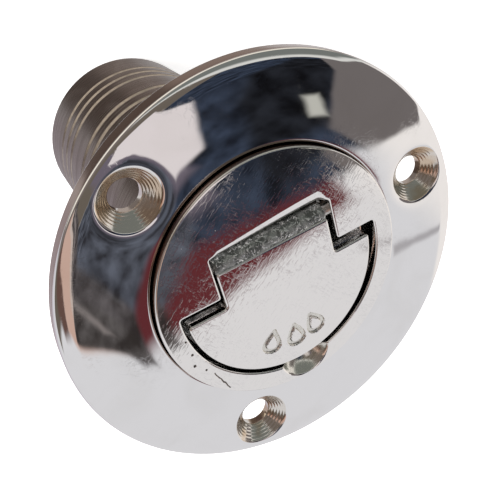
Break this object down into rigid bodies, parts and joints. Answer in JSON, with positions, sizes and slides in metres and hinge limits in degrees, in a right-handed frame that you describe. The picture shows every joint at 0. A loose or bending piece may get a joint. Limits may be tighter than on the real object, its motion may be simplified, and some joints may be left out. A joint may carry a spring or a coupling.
{
  "type": "deck fill cap",
  "caption": "Round screw-down deck fill with a ridged hose neck and a low screw cap whose lift handle folds flat into its face.",
  "frame": {"origin": "centre of the flange's underside, where it meets the deck, on the neck's axis", "axes": "+Z along the neck's axis, out of the deck; +Y towards one of the three screw holes"},
  "size_m": [0.09, 0.09, 0.1029],
  "materials": {
    "polished_steel": "mirror-polished stainless steel on the flange, cap and handle, left as machined on the neck",
    "plain_steel": "plain machined stainless steel",
    "seal_rubber": "smooth black nitrile rubber"
  },
  "bodies": {
    "root": {"deck_body": "polished_steel"},
    "lanyard_swivel": {"lanyard_tab": "plain_steel"},
    "cap": {"cap_body": "polished_steel", "hinge_pin": "plain_steel", "cap_o_ring": "seal_rubber", "lanyard_screw": "plain_steel", "lanyard_washer": "plain_steel"},
    "handle": {"lift_handle": "polished_steel"}
  },
  "joints": [
    {"name": "cap_rise", "type": "slide", "parent": "root", "child": "lanyard_swivel", "axis": [0, 0, 1], "range_m": [0, 0.0185]},
    {"name": "cap_turn", "type": "hinge", "parent": "lanyard_swivel", "child": "cap", "pos_m": [0, 0, 0], "axis": [0, 0, 1], "range_deg": [0, 1890]},
    {"name": "handle_lift", "type": "hinge", "parent": "cap", "child": "handle", "pos_m": [0.00489, 0.00608, 0.0037], "axis": [-0.7793, 0.6266, 0], "range_deg": [0, 90]}
  ],
  "couplings": [
    {"joint": "cap_rise", "follows": "cap_turn", "m_per_rad": 0.00055704}
  ]
}
